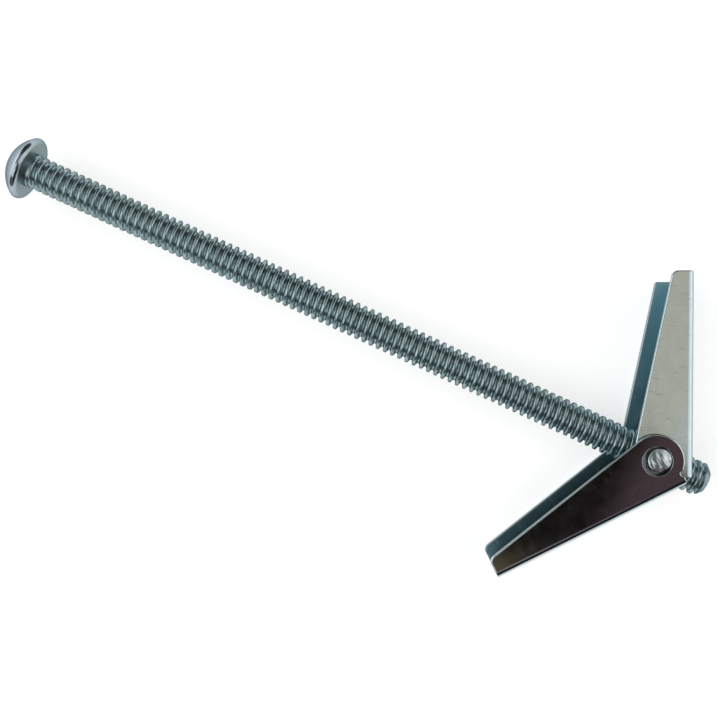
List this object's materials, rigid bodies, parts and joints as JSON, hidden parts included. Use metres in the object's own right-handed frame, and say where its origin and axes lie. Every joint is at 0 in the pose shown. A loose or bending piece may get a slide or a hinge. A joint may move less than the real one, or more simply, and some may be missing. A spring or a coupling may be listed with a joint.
{
  "type": "spring toggle bolt",
  "caption": "Round-head machine screw carrying a trunnion nut with folding sprung sheet wings that open behind a hollow wall and clamp against it.",
  "frame": {"origin": "centre of the head's bearing face, on the screw's axis", "axes": "+X along the screw from the head to the tip, +Z along the trunnions and up as the bolt lies on its side, +Y to the left wing"},
  "size_m": [0.077, 0.0351, 0.0073],
  "materials": {
    "screw_zinc": "bright zinc plate on a rolled steel thread",
    "nut_zinc": "zinc plate on turned steel",
    "wing_zinc": "bright zinc plate on folded steel sheet",
    "spring_wire": "drawn spring wire"
  },
  "bodies": {
    "screw": {"machine_screw": "screw_zinc"},
    "nut": {"trunnion_nut": "nut_zinc", "torsion_spring": "spring_wire"},
    "left_wing": {"left_wing": "wing_zinc"},
    "right_wing": {"right_wing": "wing_zinc"}
  },
  "joints": [
    {"name": "nut_travel", "type": "slide", "parent": "screw", "child": "nut", "axis": [1, 0, 0], "range_m": [-0.048, 0.0033]},
    {"name": "left_wing_fold", "type": "hinge", "parent": "nut", "child": "left_wing", "pos_m": [0.0689, 0, 0], "axis": [0, 0, 1], "range_deg": [0, 65.4], "stiffness_Nm_per_rad": 0.01, "springref_deg": -34.38, "deforming": ["torsion_spring"]},
    {"name": "right_wing_fold", "type": "hinge", "parent": "nut", "child": "right_wing", "pos_m": [0.0689, 0, 0], "axis": [0, 0, -1], "range_deg": [0, 51.8], "stiffness_Nm_per_rad": 0.01, "springref_deg": -34.38, "deforming": ["torsion_spring"]}
  ]
}
